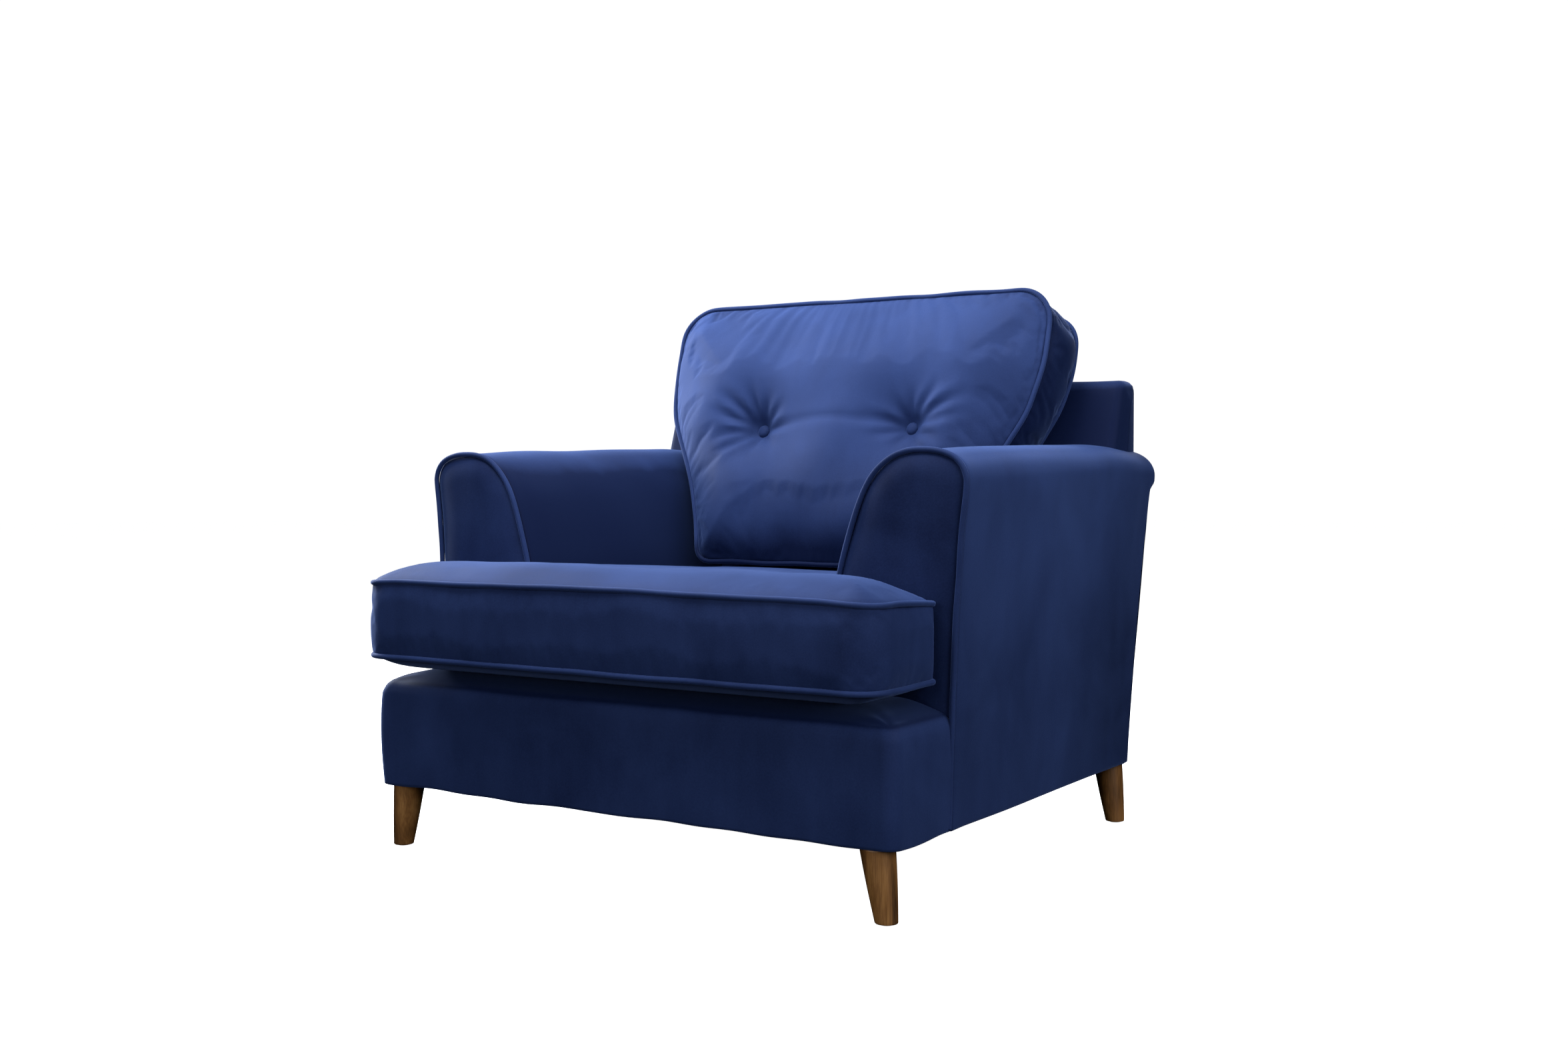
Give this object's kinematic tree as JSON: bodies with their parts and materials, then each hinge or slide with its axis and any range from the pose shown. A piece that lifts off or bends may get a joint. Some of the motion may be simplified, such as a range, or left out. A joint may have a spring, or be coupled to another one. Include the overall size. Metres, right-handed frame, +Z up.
{
  "type": "upholstered armchair",
  "caption": "Velvet lounge armchair with rolled piped arms, a loose T-shaped seat cushion, a loose buttoned back cushion and splayed round wooden legs.",
  "frame": {"origin": "on the floor, under the middle of the chair's box", "axes": "+Z up, the chair faces -Y, +X to the right of someone looking at its front"},
  "size_m": [1.014, 0.955, 0.9328],
  "materials": {
    "velvet": "matte",
    "velvet_piping": "matte",
    "foam": "matte",
    "black_cloth": "matte",
    "hessian": "matte",
    "frame_timber": "matte",
    "walnut_stain": "satin",
    "steel": "satin",
    "nylon": "matte",
    "zip_nylon": "matte"
  },
  "bodies": {
    "frame": {"arm_cover_left": "velvet", "arm_cover_right": "velvet", "arm_front_board_left": "frame_timber", "arm_front_board_right": "frame_timber", "arm_front_panel_left": "velvet", "arm_front_panel_right": "velvet", "arm_pad_left": "foam", "arm_pad_right": "foam", "arm_piping_left": "velvet_piping", "arm_piping_right": "velvet_piping", "arm_rear_board_left": "frame_timber", "arm_rear_board_right": "frame_timber", "arm_top_rail_left": "frame_timber", "arm_top_rail_right": "frame_timber", "back_lower_rail": "frame_timber", "back_pad": "foam", "back_post_left": "frame_timber", "back_post_right": "frame_timber", "back_top_rail": "frame_timber", "back_webbing": "hessian", "base_front_cover": "velvet", "base_front_pad": "foam", "corner_blocks": "frame_timber", "deck_pad": "velvet", "dust_cover": "black_cloth", "front_rail": "frame_timber", "inside_back_cover": "velvet", "leg_bolts": "steel", "leg_front_left": "walnut_stain", "leg_front_right": "walnut_stain", "leg_glides": "nylon", "leg_plates": "steel", "leg_rear_left": "walnut_stain", "leg_rear_right": "walnut_stain", "outside_back_panel": "velvet", "rear_rail": "frame_timber", "seat_springs": "steel", "side_rail_left": "frame_timber", "side_rail_right": "frame_timber", "spring_clips": "steel", "spring_sheet": "hessian"},
    "seat_cushion": {"seat_cushion_foam": "foam", "seat_cushion_cover": "velvet", "seat_piping_top": "velvet_piping", "seat_piping_bottom": "velvet_piping", "seat_cushion_zip": "zip_nylon"},
    "back_cushion": {"back_cushion_fill": "foam", "back_cushion_cover": "velvet", "back_piping_front": "velvet_piping", "back_piping_rear": "velvet_piping", "button_left": "velvet", "button_right": "velvet", "rear_buttons": "velvet", "button_twine": "hessian", "back_cushion_zip": "zip_nylon"},
    "seat_zip_slider": {"seat_zip_slider": "steel"},
    "back_zip_slider": {"back_zip_slider": "steel"}
  },
  "joints": [
    {"name": "seat_cushion_lift", "type": "slide", "parent": "frame", "child": "seat_cushion", "axis": [0, 0, 1], "range_m": [0, 0.36]},
    {"name": "back_cushion_lift", "type": "slide", "parent": "seat_cushion", "child": "back_cushion", "axis": [0, 0, 1], "range_m": [0, 0.36]},
    {"name": "seat_zip_slide", "type": "slide", "parent": "seat_cushion", "child": "seat_zip_slider", "axis": [-1, 0, 0], "range_m": [0, 0.42]},
    {"name": "back_zip_slide", "type": "slide", "parent": "back_cushion", "child": "back_zip_slider", "axis": [1, 0, 0], "range_m": [0, 0.42]}
  ]
}
